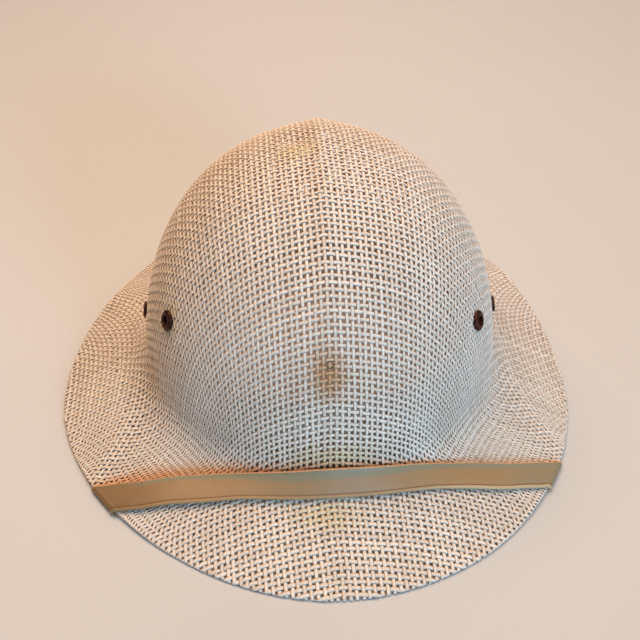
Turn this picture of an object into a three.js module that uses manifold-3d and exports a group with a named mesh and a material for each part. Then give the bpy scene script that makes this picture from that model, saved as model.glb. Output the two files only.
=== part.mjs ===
// Woven mesh sun helmet: a blocked shell of crown and brim, its turned hem, a chin strap worn over
// the front of the brim, a headband and four eyelets.
// Millimetres, +Z up. The front looks towards -Y, and the hem rests on the plane z = 0.
import * as THREE from 'three';
import { mergeVertices } from 'three/addons/utils/BufferGeometryUtils.js';
import Module from 'manifold-3d';

// Driving dimensions of the shell
const CROWN = { halfWidth: 99, front: 112, back: 117, height: 127, squareness: 2.38, centreY: -5.5 };
const BRIM = {
  halfWidth: 145, front: 173, back: 184, widestY: -11, edgeZ: 2, drop: 18, curl: 1.2,
  frontSquareness: 1.88, backSquareness: 2.17,
};
const FILLET = { up: 16, out: 18 };
const CREASE = { height: 2, width: 14, fadeFrom: 40, fadeTo: 90 };
const WALL = 2.2;
const HEM = { width: 3, height: 2.6, bevel: 0.8 };
const GAP = 0.35;

// Height of the crown's foot, where the brim begins to fall
const FOOT_Z = BRIM.edgeZ + BRIM.drop;
// Polar angle of the crown's superellipse where the fillet begins
const WALL_POLAR = Math.acos((FILLET.up / CROWN.height) ** (CROWN.squareness / 2));

// The strap lies a little off the shell, clears the hem where it folds, and lifts the brim's edge there
const STRAP = { thickness: 1.3, lie: 0.6, hemClearance: 0.8, underClearance: 1.1, lift: 2.5, liftSpread: 13 };
// Its route over the brim, a row for each ruling from its lower edge to its upper edge.
// Angles are degrees round the crown from the front, towards +X. Stations go down the shell:
// 1 is the top of the fillet, 2 its outer end and 3 the edge of the brim.
const STRAP_ROUTE = [
  { lowerAngle: -50, lowerStation: 3, upperAngle: -56, upperStation: 3 },
  { lowerAngle: -37, lowerStation: 2.33, upperAngle: -45, upperStation: 2.25 },
  { lowerAngle: -21, lowerStation: 1.89, upperAngle: -24, upperStation: 1.46 },
  { lowerAngle: 1, lowerStation: 1.73, upperAngle: 1, upperStation: 1.16 },
  { lowerAngle: 23, lowerStation: 1.89, upperAngle: 26, upperStation: 1.41 },
  { lowerAngle: 39, lowerStation: 2.22, upperAngle: 47, upperStation: 2.08 },
  { lowerAngle: 55, lowerStation: 3, upperAngle: 60.5, upperStation: 3 },
];
// Where each end of the strap is sewn under the headband, and the strap's width there
const STRAP_ENDS = { left: { x: -95, y: -10 }, right: { x: 95, y: -2 }, width: 16 };

// Headband: heights above the crown's foot, inset from the crown's outer face, and lean of its top
const HEADBAND = { bottom: -1, bend: 16, top: 42, inset: WALL + 0.75, lean: 9, thickness: 1.6 };

// Eyelets: place on the crown, flange, barrel and hole radii
const EYELETS = [
  { name: 'vent_eyelet_left', angle: -61, height: 59, flange: 5.5, barrel: 3.6, hole: 2.7 },
  { name: 'vent_eyelet_right', angle: 61, height: 56, flange: 5.5, barrel: 3.6, hole: 2.7 },
  { name: 'side_eyelet_left', angle: -88, height: 33, flange: 4.6, barrel: 3, hole: 2.2 },
  { name: 'side_eyelet_right', angle: 88, height: 33, flange: 4.6, barrel: 3, hole: 2.2 },
];
const EYELET = { sheet: 0.9, seat: 0.6, rim: 0.5, mouth: 0.6, rolled: 0.6 };

// How finely the curved forms are divided
const STEPS = { round: 72, crown: 13, fillet: 4, brim: 4, eyelet: 20 };
// The strap's front run leaves out the rulings nearest its folds, so that it turns into them smoothly
const STRAP_STEPS = { front: 36, besideFold: 2, fold: 8, under: 10 };

const MATERIALS = {
  weave: new THREE.MeshStandardMaterial({ color: 0xd9c8b8, roughness: 0.85, metalness: 0 }),
  hem: new THREE.MeshStandardMaterial({ color: 0xcdbba9, roughness: 0.85, metalness: 0 }),
  vinyl: new THREE.MeshStandardMaterial({ color: 0xa68a63, roughness: 0.45, metalness: 0 }),
  band: new THREE.MeshStandardMaterial({ color: 0xc9c8bd, roughness: 0.7, metalness: 0 }),
  metal: new THREE.MeshStandardMaterial({ color: 0x4a2f22, roughness: 0.45, metalness: 0.8 }),
};

const radians = (degrees) => THREE.MathUtils.degToRad(degrees);
const signedPower = (value, exponent) => Math.sign(value) * Math.abs(value) ** exponent;
const vector = (x, y, z) => new THREE.Vector3(x, y, z);

// Plan of the crown's foot: two half ellipses, drawn in by inset
function footPlan(angle, inset = 0) {
  const reach = Math.cos(angle) > 0 ? CROWN.front : CROWN.back;
  const x = (CROWN.halfWidth - inset) * Math.sin(angle);
  const y = CROWN.centreY - (reach - inset) * Math.cos(angle);
  return vector(x, y, 0);
}

// Plan of the brim's outer edge: two half superellipses that meet at the widest place
function edgePlan(angle) {
  const toFront = Math.cos(angle) >= 0;
  const power = 2 / (toFront ? BRIM.frontSquareness : BRIM.backSquareness);
  const reach = toFront ? BRIM.front + BRIM.widestY : BRIM.back - BRIM.widestY;
  const x = BRIM.halfWidth * signedPower(Math.sin(angle), power);
  const y = CROWN.centreY + BRIM.widestY - reach * signedPower(Math.cos(angle), power);
  return vector(x, y, 0);
}

// Unit vector square to the brim's edge in plan, away from the hat
function edgeOutward(angle) {
  const step = 1e-3;
  const along = edgePlan(angle + step).sub(edgePlan(angle - step)).normalize();
  return vector(along.y, -along.x, 0);
}

// The strap holds the brim's edge up a little where it folds round it
function edgeLift(angle) {
  const first = STRAP_ROUTE[0];
  const last = STRAP_ROUTE[STRAP_ROUTE.length - 1];
  const folds = [first, last].map((row) => (row.lowerAngle + row.upperAngle) / 2);
  const turn = THREE.MathUtils.radToDeg(Math.atan2(Math.sin(angle), Math.cos(angle)));
  const bumps = folds.map((fold) => Math.exp(-(((turn - fold) / STRAP.liftSpread) ** 4)));
  return STRAP.lift * Math.max(...bumps);
}

// Outer surface of the brim, from the crown's foot (out = 0) to the edge (out = 1)
function brimPoint(out, angle) {
  const point = footPlan(angle).lerp(edgePlan(angle), out);
  point.z = FOOT_Z - BRIM.drop * Math.max(out, 0) ** BRIM.curl + edgeLift(angle) * out ** 3;
  return point;
}

// Outer surface of the crown. The crease is a low ridge down the front, above fadeFrom.
function crownPoint(polar, angle, crease) {
  const spread = Math.sin(polar) ** (2 / CROWN.squareness);
  const height = CROWN.height * Math.cos(polar) ** (2 / CROWN.squareness);
  const plan = footPlan(angle);
  const x = plan.x * spread;
  const fromCentre = (plan.y - CROWN.centreY) * spread;
  const point = vector(x, CROWN.centreY + fromCentre, FOOT_Z + height);
  const fade = THREE.MathUtils.smoothstep(height, CREASE.fadeFrom, CREASE.fadeTo);
  const rise = crease * CREASE.height * Math.exp(-Math.abs(x) / CREASE.width) * fade;
  const outward = vector(0, (fromCentre / CROWN.front) * spread, height / CROWN.height).normalize();
  return point.addScaledVector(outward, rise);
}

// Outer surface of the whole shell: stations 0 to 1 are the crown, 1 to 2 the fillet, 2 to 3 the brim
function shellPoint(station, angle, crease = 1) {
  const nearPole = 1e-4;
  if (station <= 1) {
    return crownPoint(Math.max(station, nearPole) * WALL_POLAR, angle, crease);
  }
  const foot = footPlan(angle);
  const filletOut = FILLET.out / foot.distanceTo(edgePlan(angle));
  if (station >= 2) {
    return brimPoint(filletOut + (1 - filletOut) * (station - 2), angle);
  }
  const along = station - 1;
  const top = crownPoint(WALL_POLAR, angle, crease).multiplyScalar((1 - along) ** 2);
  const corner = foot.setZ(FOOT_Z).multiplyScalar(2 * along * (1 - along));
  return top.add(corner).addScaledVector(brimPoint(filletOut, angle), along ** 2);
}

// Outward unit normal of the shell without its crease
function shellNormal(station, angle) {
  if (station < 1e-3) {
    return vector(0, 0, 1);
  }
  const step = 1e-3;
  const down = shellPoint(station + step, angle, 0).sub(shellPoint(station - step, angle, 0));
  const round = shellPoint(station, angle + step, 0).sub(shellPoint(station, angle - step, 0));
  return down.cross(round).normalize();
}

// Station at which the outer surface of the crown's wall reaches a height above its foot
function stationAtHeight(height) {
  return Math.acos((height / CROWN.height) ** (CROWN.squareness / 2)) / WALL_POLAR;
}

// Closed solid through a row of sections, each a closed ring of points. A looped row joins its last
// section to its first, and an open one gets flat ends.
function loft(sections, looped) {
  const size = sections[0].length;
  const triangles = [];
  const quads = looped ? sections.length : sections.length - 1;
  for (let row = 0; row < quads; row += 1) {
    const here = sections[row];
    const next = sections[(row + 1) % sections.length];
    for (let column = 0; column < size; column += 1) {
      const beside = (column + 1) % size;
      triangles.push([here[column], next[column], next[beside]]);
      triangles.push([here[column], next[beside], here[beside]]);
    }
  }
  if (!looped) {
    const last = sections[sections.length - 1];
    for (let column = 1; column < size - 1; column += 1) {
      triangles.push([sections[0][0], sections[0][column], sections[0][column + 1]]);
      triangles.push([last[0], last[column + 1], last[column]]);
    }
  }
  return facingOut(triangles.filter(hasArea));
}

function hasArea([a, b, c]) {
  const smallest = 1e-7;
  return b.clone().sub(a).cross(c.clone().sub(a)).length() > smallest;
}

// Geometry of closed triangles, turned so that the enclosed volume is positive
function facingOut(triangles) {
  const volume = triangles.reduce((sum, [a, b, c]) => sum + a.dot(b.clone().cross(c)), 0);
  const ordered = triangles.map(([a, b, c]) => (volume > 0 ? [a, b, c] : [a, c, b]));
  const positions = ordered.flat().flatMap((point) => point.toArray());
  const geometry = new THREE.BufferGeometry();
  geometry.setAttribute('position', new THREE.Float32BufferAttribute(positions, 3));
  geometry.computeVertexNormals();
  return geometry;
}

// Solids for the boolean cuts
const wasm = await Module();
wasm.setup();

function toSolid(geometry, matrix = new THREE.Matrix4()) {
  const bare = geometry.clone().applyMatrix4(matrix);
  bare.deleteAttribute('normal');
  bare.deleteAttribute('uv');
  const merged = mergeVertices(bare, 1e-4);
  const vertProperties = new Float32Array(merged.attributes.position.array);
  const triVerts = new Uint32Array(merged.index.array);
  return new wasm.Manifold(new wasm.Mesh({ numProp: 3, vertProperties, triVerts }));
}

function toGeometry(solid) {
  const mesh = solid.getMesh();
  const geometry = new THREE.BufferGeometry();
  geometry.setAttribute('position', new THREE.Float32BufferAttribute(mesh.vertProperties, 3));
  geometry.setIndex(new THREE.BufferAttribute(mesh.triVerts, 1));
  const loose = geometry.toNonIndexed();
  loose.computeVertexNormals();
  return loose;
}

function piece(name, geometry, material) {
  const mesh = new THREE.Mesh(geometry, material);
  mesh.name = name;
  return mesh;
}

// Angles round the hat, once round
const ROUND = Array.from({ length: STEPS.round }, (_, index) => (index / STEPS.round) * 2 * Math.PI);

// Stations down the shell, ending where the hem begins
function shellStations(angle) {
  const overhang = footPlan(angle).distanceTo(edgePlan(angle)) - FILLET.out;
  const lastStation = 3 - (HEM.width + GAP) / overhang;
  const stations = [];
  for (let row = 0; row <= STEPS.crown; row += 1) {
    stations.push(row / STEPS.crown);
  }
  for (let row = 1; row <= STEPS.fillet; row += 1) {
    stations.push(1 + row / STEPS.fillet);
  }
  for (let row = 1; row <= STEPS.brim; row += 1) {
    stations.push(2 + ((lastStation - 2) * row) / STEPS.brim);
  }
  return stations;
}

// Woven shell: a wall of even thickness, open below, with a hole for each eyelet
function wovenShell() {
  const sections = ROUND.map((angle) => {
    const stations = shellStations(angle);
    const outer = stations.map((station) => shellPoint(station, angle));
    const inner = stations.map((station) => {
      return shellPoint(station, angle).addScaledVector(shellNormal(station, angle), -WALL);
    });
    inner[0].copy(outer[0]).setZ(outer[0].z - WALL);
    return [...outer, ...inner.reverse()];
  });
  const tip = sections[0][0].clone();
  const innerTip = tip.clone().setZ(tip.z - WALL);
  for (const section of sections) {
    section[0].copy(tip);
    section[section.length - 1].copy(innerTip);
  }
  let solid = toSolid(loft(sections, true));
  const drillLength = WALL * 6;
  for (const eyelet of EYELETS) {
    const radius = eyelet.barrel + GAP;
    const drill = new THREE.CylinderGeometry(radius, radius, drillLength, STEPS.eyelet);
    solid = solid.subtract(toSolid(drill, eyeletPlace(eyelet)));
  }
  return piece('woven_shell', toGeometry(solid), MATERIALS.weave);
}

// Hem: a bead round the brim's edge with its corners taken off and a flat foot
function brimHem() {
  const { width, height, bevel } = HEM;
  const profile = [
    [0, 0], [width - bevel, 0], [width, bevel], [width, height - bevel],
    [width - bevel, height], [bevel, height], [0, height - bevel],
  ];
  const sections = ROUND.map((angle) => {
    const outward = edgeOutward(angle);
    const start = edgePlan(angle).addScaledVector(outward, -width).setZ(edgeLift(angle));
    return profile.map(([out, up]) => {
      return start.clone().addScaledVector(outward, out).add(vector(0, 0, up));
    });
  });
  return piece('brim_hem', loft(sections, true), MATERIALS.hem);
}

// Headband: stands on the crown's wall just above the fillet and leans in towards its top
function headband() {
  const rows = [
    { height: HEADBAND.bottom, inset: HEADBAND.inset },
    { height: HEADBAND.bend, inset: HEADBAND.inset },
    { height: HEADBAND.top, inset: HEADBAND.inset + HEADBAND.lean },
  ];
  const sections = ROUND.map((angle) => {
    const outer = rows.map(({ height, inset }) => footPlan(angle, inset).setZ(FOOT_Z + height));
    const inner = rows.map(({ height, inset }) => {
      return footPlan(angle, inset + HEADBAND.thickness).setZ(FOOT_Z + height);
    });
    return [...outer, ...inner.reverse()];
  });
  return piece('headband', loft(sections, true), MATERIALS.band);
}

// Smooth value of one column of the strap's route, at a share of its length
function routeValue(column, share) {
  const points = STRAP_ROUTE.map((row) => vector(row[column], 0, 0));
  return new THREE.CatmullRomCurve3(points, false, 'centripetal').getPoint(share).x;
}

// Rulings across the front run, each from the strap's lower edge to its upper edge
function frontRulings() {
  const stand = STRAP.lie + STRAP.thickness / 2;
  const rulings = [];
  const { front, besideFold } = STRAP_STEPS;
  for (let row = besideFold; row <= front - besideFold; row += 1) {
    const share = row / front;
    const ends = ['lower', 'upper'].map((edge) => {
      const angle = radians(routeValue(`${edge}Angle`, share));
      const station = routeValue(`${edge}Station`, share);
      return shellPoint(station, angle, 0).addScaledVector(shellNormal(station, angle), stand);
    });
    rulings.push({ lower: ends[0], upper: ends[1] });
  }
  return rulings;
}

// Middle line of the hem's bead at an angle
function hemCentre(angle) {
  const centre = edgePlan(angle).addScaledVector(edgeOutward(angle), -HEM.width / 2);
  return centre.setZ(edgeLift(angle) + HEM.height / 2);
}

// Rulings of the half turn round the hem, from above the brim to below it
function foldRulings(row) {
  const lower = hemCentre(radians(row.lowerAngle));
  const upper = hemCentre(radians(row.upperAngle));
  const along = upper.clone().sub(lower).setZ(0).normalize();
  const outward = vector(along.y, -along.x, 0);
  if (outward.dot(lower) < 0) {
    outward.negate();
  }
  const radius = HEM.height / 2 + STRAP.hemClearance + STRAP.thickness / 2;
  const rulings = [];
  for (let step = 0; step <= STRAP_STEPS.fold; step += 1) {
    const turn = (step / STRAP_STEPS.fold) * Math.PI;
    const offset = outward.clone().multiplyScalar(radius * Math.sin(turn)).setZ(radius * Math.cos(turn));
    rulings.push({ lower: lower.clone().add(offset), upper: upper.clone().add(offset) });
  }
  return rulings;
}

// Angle and share of the brim's width that lie over a point in plan
function brimPlace(x, y) {
  const target = vector(x, y, 0);
  const heading = (point) => Math.atan2(point.x, CROWN.centreY - point.y);
  let angle = heading(target);
  let out = 0;
  const passes = 12;
  for (let pass = 0; pass < passes; pass += 1) {
    const foot = footPlan(angle);
    const across = edgePlan(angle).sub(foot);
    out = target.clone().sub(foot).dot(across) / across.lengthSq();
    const found = foot.addScaledVector(across, out);
    angle += heading(target) - heading(found);
  }
  return { angle, out: THREE.MathUtils.clamp(out, 0, 1) };
}

// Rulings of the hidden run under the brim, from the fold to the end under the headband
function underRulings(foldEnd, end) {
  const foldMiddle = foldEnd.lower.clone().add(foldEnd.upper).multiplyScalar(0.5).setZ(0);
  const endMiddle = vector(end.x, end.y, 0);
  const run = endMiddle.clone().sub(foldMiddle).normalize();
  const across = vector(-run.y, run.x, 0).multiplyScalar(STRAP_ENDS.width / 2);
  if (across.dot(foldEnd.upper.clone().sub(foldEnd.lower)) < 0) {
    across.negate();
  }
  const drop = WALL + STRAP.underClearance + STRAP.thickness / 2;
  const under = (point) => {
    const { angle, out } = brimPlace(point.x, point.y);
    return point.setZ(brimPoint(out, angle).z - drop);
  };
  const rulings = [];
  for (let row = 1; row <= STRAP_STEPS.under; row += 1) {
    const share = row / STRAP_STEPS.under;
    const turn = THREE.MathUtils.smoothstep(share, 0, 1);
    const middle = foldMiddle.clone().lerp(endMiddle, share);
    const half = foldEnd.upper.clone().sub(foldEnd.lower).setZ(0).multiplyScalar(0.5).lerp(across, turn);
    const lower = under(middle.clone().sub(half));
    const upper = under(middle.clone().add(half));
    rulings.push({ lower, upper });
  }
  return rulings;
}

// Strap: a flat band along its rulings, from one end under the headband to the other
function strap() {
  const leftFold = foldRulings(STRAP_ROUTE[0]);
  const rightFold = foldRulings(STRAP_ROUTE[STRAP_ROUTE.length - 1]);
  const leftUnder = underRulings(leftFold[leftFold.length - 1], STRAP_ENDS.left);
  const rightUnder = underRulings(rightFold[rightFold.length - 1], STRAP_ENDS.right);
  const rulings = [
    ...leftUnder.reverse(), ...leftFold.reverse(), ...frontRulings(), ...rightFold, ...rightUnder,
  ];
  const middles = rulings.map(({ lower, upper }) => lower.clone().add(upper).multiplyScalar(0.5));
  const sections = rulings.map(({ lower, upper }, index) => {
    const before = middles[Math.max(index - 1, 0)];
    const after = middles[Math.min(index + 1, middles.length - 1)];
    const face = after.clone().sub(before).cross(upper.clone().sub(lower)).normalize();
    const half = face.multiplyScalar(STRAP.thickness / 2);
    return [
      lower.clone().sub(half), lower.clone().add(half), upper.clone().add(half), upper.clone().sub(half),
    ];
  });
  return piece('strap', loft(sections, false), MATERIALS.vinyl);
}

// Place of an eyelet: its local Y axis is the shell's outward normal
function eyeletPlace(eyelet) {
  const station = stationAtHeight(eyelet.height);
  const angle = radians(eyelet.angle);
  const turn = new THREE.Quaternion().setFromUnitVectors(vector(0, 1, 0), shellNormal(station, angle));
  return new THREE.Matrix4().compose(shellPoint(station, angle), turn, vector(1, 1, 1));
}

// Eyelet: a flange outside, a barrel through the wall and a rolled flange inside
function eyeletPiece(eyelet) {
  const { flange, barrel, hole } = eyelet;
  const back = -WALL - EYELET.seat;
  const top = EYELET.seat + EYELET.sheet;
  const mouth = EYELET.seat + EYELET.sheet * EYELET.mouth;
  const rolled = barrel + (flange - barrel) * EYELET.rolled;
  const profile = [
    [hole, mouth], [hole, back - EYELET.sheet], [rolled - EYELET.rim, back - EYELET.sheet],
    [rolled, back], [barrel, back], [barrel, EYELET.seat], [flange, EYELET.seat],
    [flange - EYELET.rim, mouth], [barrel, top], [hole, mouth],
  ].map(([radius, height]) => new THREE.Vector2(radius, height));
  const geometry = new THREE.LatheGeometry(profile, STEPS.eyelet);
  const mesh = piece(eyelet.name, geometry, MATERIALS.metal);
  eyeletPlace(eyelet).decompose(mesh.position, mesh.quaternion, mesh.scale);
  return mesh;
}

const helmet = new THREE.Group();
helmet.add(wovenShell(), brimHem(), headband(), strap());
EYELETS.forEach((eyelet) => helmet.add(eyeletPiece(eyelet)));

export default helmet;
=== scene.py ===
# %% [markdown]
# # A woven sun helmet, thread by thread
# The hat is one square of open paper weave that was steamed and pressed over a block. Its edge is
# turned under, four metal eyelets let air in, a band of tape lines the foot of the crown, and a flat
# strap lies over the front of the brim. Each lesson below makes one of these pieces. The packed
# solids are loaded first, because every piece has to lie where they are.

# %% Load the solids and keep their box
import math

import bmesh
import bpy
import numpy as np
from mathutils import Matrix, Vector


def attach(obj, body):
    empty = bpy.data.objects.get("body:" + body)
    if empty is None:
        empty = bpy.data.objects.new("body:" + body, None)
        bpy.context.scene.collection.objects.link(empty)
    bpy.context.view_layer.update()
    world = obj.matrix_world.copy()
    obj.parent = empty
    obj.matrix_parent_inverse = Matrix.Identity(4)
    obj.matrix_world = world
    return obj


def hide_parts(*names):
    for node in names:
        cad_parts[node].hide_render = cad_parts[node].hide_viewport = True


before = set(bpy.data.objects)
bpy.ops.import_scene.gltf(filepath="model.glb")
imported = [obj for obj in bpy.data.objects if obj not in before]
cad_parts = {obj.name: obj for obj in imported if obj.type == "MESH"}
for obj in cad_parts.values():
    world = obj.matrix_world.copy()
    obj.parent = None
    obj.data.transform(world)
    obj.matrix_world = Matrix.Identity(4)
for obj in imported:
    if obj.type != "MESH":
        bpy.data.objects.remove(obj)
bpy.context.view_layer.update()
BODY = "root"
print("solids:", sorted(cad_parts))

# %% [markdown]
# ## The block
# Cloth on a block takes the block's form, so the form comes first, as a formula that gives a point
# for a place on the hat. A mesh could be modelled by hand instead, but a formula can be asked for a
# point, a slope or a distance anywhere, and the threads need all three. The crown is a superellipse
# in section, the brim is ruled between the crown's foot and the outer edge, and a fillet joins them.
# Places are given by an angle round the hat, 0 at the front, and by a station: 0 is the top, 1 the
# foot of the crown's wall, 2 the end of the fillet and 3 the edge of the brim. The edge of an old hat
# isn't a perfect oval. This one bows to one side, and lifts a little where the strap folds round it.

# %% Sizes of the block, in metres
CROWN_HALF_WIDTH = 0.099
CROWN_FRONT = 0.112
CROWN_BACK = 0.117
CROWN_HEIGHT = 0.127
CROWN_SQUARENESS = 2.38
CROWN_CENTRE_Y = -0.0055
BRIM_HALF_WIDTH = 0.145
BRIM_FRONT = 0.173
BRIM_BACK = 0.184
BRIM_WIDEST_Y = -0.011
BRIM_EDGE_Z = 0.002
BRIM_DROP = 0.018
BRIM_CURL = 1.2
BRIM_FRONT_SQUARENESS = 1.88
BRIM_BACK_SQUARENESS = 2.17
FILLET_UP = 0.016
FILLET_OUT = 0.018
CREASE_HEIGHT = 0.002
CREASE_WIDTH = 0.014
CREASE_FADE = (0.040, 0.090)
SWAY_LEAST = -0.0022
SWAY_MOST = 0.0035
SWAY_CURVE = 0.36
SWAY_MIDDLE_Y = -0.025
FOLD_LIFT = 0.0011
FOLD_LIFT_SPREAD = 13
FOLD_ANGLES = (-53, 57.75)
WALL = 0.0022
FOOT_Z = BRIM_EDGE_Z + BRIM_DROP
WALL_POLAR = math.acos((FILLET_UP / CROWN_HEIGHT) ** (CROWN_SQUARENESS / 2))


# %% Plans of the crown's foot and of the brim's edge
def signed_power(value, exponent):
    return np.sign(value) * np.abs(value) ** exponent


def smooth_between(value, low, high):
    share = np.clip((value - low) / (high - low), 0, 1)
    return share * share * (3 - 2 * share)


def foot_plan(angle, inset=0.0):
    reach = np.where(np.cos(angle) > 0, CROWN_FRONT, CROWN_BACK) - inset
    x = (CROWN_HALF_WIDTH - inset) * np.sin(angle)
    return np.stack([x, CROWN_CENTRE_Y - reach * np.cos(angle)], axis=-1)


def edge_plan(angle):
    to_front = np.cos(angle) >= 0
    power = 2 / np.where(to_front, BRIM_FRONT_SQUARENESS, BRIM_BACK_SQUARENESS)
    reach = np.where(to_front, BRIM_FRONT + BRIM_WIDEST_Y, BRIM_BACK - BRIM_WIDEST_Y)
    x = BRIM_HALF_WIDTH * signed_power(np.sin(angle), power)
    y = CROWN_CENTRE_Y + BRIM_WIDEST_Y - reach * signed_power(np.cos(angle), power)
    sway = np.minimum(SWAY_LEAST + SWAY_CURVE * (y - SWAY_MIDDLE_Y) ** 2, SWAY_MOST)
    return np.stack([x + sway, y], axis=-1)


def overhang(angle):
    return np.linalg.norm(edge_plan(angle) - foot_plan(angle), axis=-1) - FILLET_OUT


# %% Points of the brim, the crown and the whole block
def with_height(plan, height):
    height = np.broadcast_to(height, plan.shape[:-1])
    return np.concatenate([plan, height[..., None]], axis=-1)


def edge_lift(angle):
    turn = np.degrees(np.arctan2(np.sin(angle), np.cos(angle)))
    bumps = [np.exp(-(((turn - fold) / FOLD_LIFT_SPREAD) ** 4)) for fold in FOLD_ANGLES]
    return FOLD_LIFT * np.maximum(*bumps)


def brim_point(out, angle):
    height = FOOT_Z - BRIM_DROP * np.maximum(out, 0) ** BRIM_CURL + edge_lift(angle) * out**3
    share = out[..., None]
    return with_height(foot_plan(angle) * (1 - share) + edge_plan(angle) * share, height)


def crown_point(polar, angle):
    spread = np.sin(polar) ** (2 / CROWN_SQUARENESS)
    height = CROWN_HEIGHT * np.cos(polar) ** (2 / CROWN_SQUARENESS)
    plan = foot_plan(angle)
    x = plan[..., 0] * spread
    from_centre = (plan[..., 1] - CROWN_CENTRE_Y) * spread
    outward = np.stack([0 * x, from_centre / CROWN_FRONT * spread, height / CROWN_HEIGHT], axis=-1)
    outward /= np.linalg.norm(outward, axis=-1, keepdims=True)
    rise = CREASE_HEIGHT * np.exp(-np.abs(x) / CREASE_WIDTH) * smooth_between(height, *CREASE_FADE)
    point = np.stack([x, CROWN_CENTRE_Y + from_centre, FOOT_Z + height], axis=-1)
    return point + outward * rise[..., None]


def block_point(station, angle):
    station, angle = np.broadcast_arrays(np.asarray(station, float), np.asarray(angle, float))
    crown = crown_point(np.clip(station, 1e-5, 1) * WALL_POLAR, angle)
    start = FILLET_OUT / (overhang(angle) + FILLET_OUT)
    along = np.clip(station - 1, 0, 1)[..., None]
    corner = with_height(foot_plan(angle), FOOT_Z)
    fillet = (1 - along) ** 2 * crown + 2 * along * (1 - along) * corner
    fillet = fillet + along**2 * brim_point(start, angle)
    brim = brim_point(start + (1 - start) * np.maximum(station - 2, 0), angle)
    where = station[..., None]
    return np.where(where <= 1, crown, np.where(where >= 2, brim, fillet))


edge_points = block_point(np.full(360, 3.0), np.radians(np.arange(360)))
print("brim, long and wide:", np.ptp(edge_points[:, 1]).round(4), np.ptp(edge_points[:, 0]).round(4))
print("top of the crown:", block_point(0.0, 0.0).round(4))

# %% [markdown]
# ## Laying the cloth
# A plain weave can't stretch along its threads, but its squares can lean into diamonds. So cloth on
# a dome is a net in which every side keeps its length. Cloth simulation would find such a net
# slowly. The way used here is the one that boat builders use for glass cloth: two threads are laid
# straight across the top, and each new crossing is the one point of the block at a thread spacing
# from its two neighbours. Newton's method finds it, for a whole diagonal of crossings at a time.
# The flat coordinates p and q are a map of the hat seen from above, and never tear at the top. This
# cloth lay a few degrees askew on the block, and the press has closed it up along the sides of the
# brim, so the net is turned a little and its spacing shrinks there.

# %% The map from flat coordinates to the block
PITCH_ACROSS = 0.0031
PITCH_ALONG = 0.00345
HALF_COUNT = 81
MAP_RADII = (0.0, 0.60, 0.72, 1.0, 1.56)
MAP_STATIONS = (0.0, 1.0, 2.0, 3.0, 5.0)


def place_of(p, q):
    return np.interp(np.hypot(p, q), MAP_RADII, MAP_STATIONS), np.arctan2(p, -q)


def map_point(p, q):
    return block_point(*place_of(p, q))


def map_slopes(p, q, step=1e-5):
    moved = map_point(np.stack([p, p + step, p]), np.stack([q, q, q + step]))
    return moved[0], (moved[1] - moved[0]) / step, (moved[2] - moved[0]) / step


# %% How the cloth is turned, and where the press has closed it up
CLOTH_TURN = math.radians(3)
ACROSS_WAY = np.array([math.cos(CLOTH_TURN), math.sin(CLOTH_TURN)])
ALONG_WAY = np.array([-math.sin(CLOTH_TURN), math.cos(CLOTH_TURN)])
SIDE_CLOSER = 0.20
CLOSER_FROM = (1.2, 1.8)
EASED_FROM = (2.2, 3.0)
EASED_SHARE = 0.5


def pitch_along(p, q):
    station, angle = place_of(p, q)
    closed = smooth_between(station, *CLOSER_FROM) - EASED_SHARE * smooth_between(station, *EASED_FROM)
    return PITCH_ALONG * (1 - SIDE_CLOSER * np.sin(angle) ** 2 * closed)


# %% One quarter of the net
LINE_SAMPLES = 6000
NET_MARGIN = 0.1


def straight_line(direction, pitch):
    reach = np.linspace(0, MAP_RADII[-1], LINE_SAMPLES)
    line = map_point(reach * direction[0], reach * direction[1])
    steps = np.linalg.norm(np.diff(line, axis=0), axis=1)
    found = np.interp(pitch * np.arange(HALF_COUNT), np.append(0, np.cumsum(steps)), reach)
    return found * direction[0], found * direction[1]


def crossing(p, q, beside, before, rounds=5):
    for _ in range(rounds):
        point, along_p, along_q = map_slopes(p, q)
        to_beside = point - beside
        to_before = point - before
        miss_a = (to_beside**2).sum(-1) - PITCH_ACROSS**2
        miss_b = (to_before**2).sum(-1) - pitch_along(p, q) ** 2
        ap, aq = 2 * (to_beside * along_p).sum(-1), 2 * (to_beside * along_q).sum(-1)
        bp, bq = 2 * (to_before * along_p).sum(-1), 2 * (to_before * along_q).sum(-1)
        scale = ap * bq - aq * bp
        scale = np.where(scale == 0, 1, scale)
        p = p - (miss_a * bq - miss_b * aq) / scale
        q = q - (ap * miss_b - bp * miss_a) / scale
    return p, q


def quarter_net(across, along):
    p = np.zeros((HALF_COUNT, HALF_COUNT))
    q = np.zeros((HALF_COUNT, HALF_COUNT))
    p[:, 0], q[:, 0] = straight_line(across, PITCH_ACROSS)
    p[0, :], q[0, :] = straight_line(along, PITCH_ALONG)
    for total in range(2, 2 * HALF_COUNT - 1):
        i = np.arange(max(1, total - HALF_COUNT + 1), min(HALF_COUNT - 1, total - 1) + 1)
        j = total - i
        guess_p = p[i - 1, j] + p[i, j - 1] - p[i - 1, j - 1]
        guess_q = q[i - 1, j] + q[i, j - 1] - q[i - 1, j - 1]
        beside = map_point(p[i - 1, j], q[i - 1, j])
        before = map_point(p[i, j - 1], q[i, j - 1])
        found_p, found_q = crossing(guess_p, guess_q, beside, before)
        far = np.hypot(guess_p, guess_q) > MAP_RADII[-2] + NET_MARGIN
        p[i, j] = np.where(far, guess_p, found_p)
        q[i, j] = np.where(far, guess_q, found_q)
    return p, q


# %% The whole net, joined from four quarters
def half_net(across):
    front_p, front_q = quarter_net(across, -ALONG_WAY)
    back_p, back_q = quarter_net(across, ALONG_WAY)
    half_p = np.concatenate([front_p[:, :0:-1], back_p], axis=1)
    half_q = np.concatenate([front_q[:, :0:-1], back_q], axis=1)
    return half_p, half_q


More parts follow.
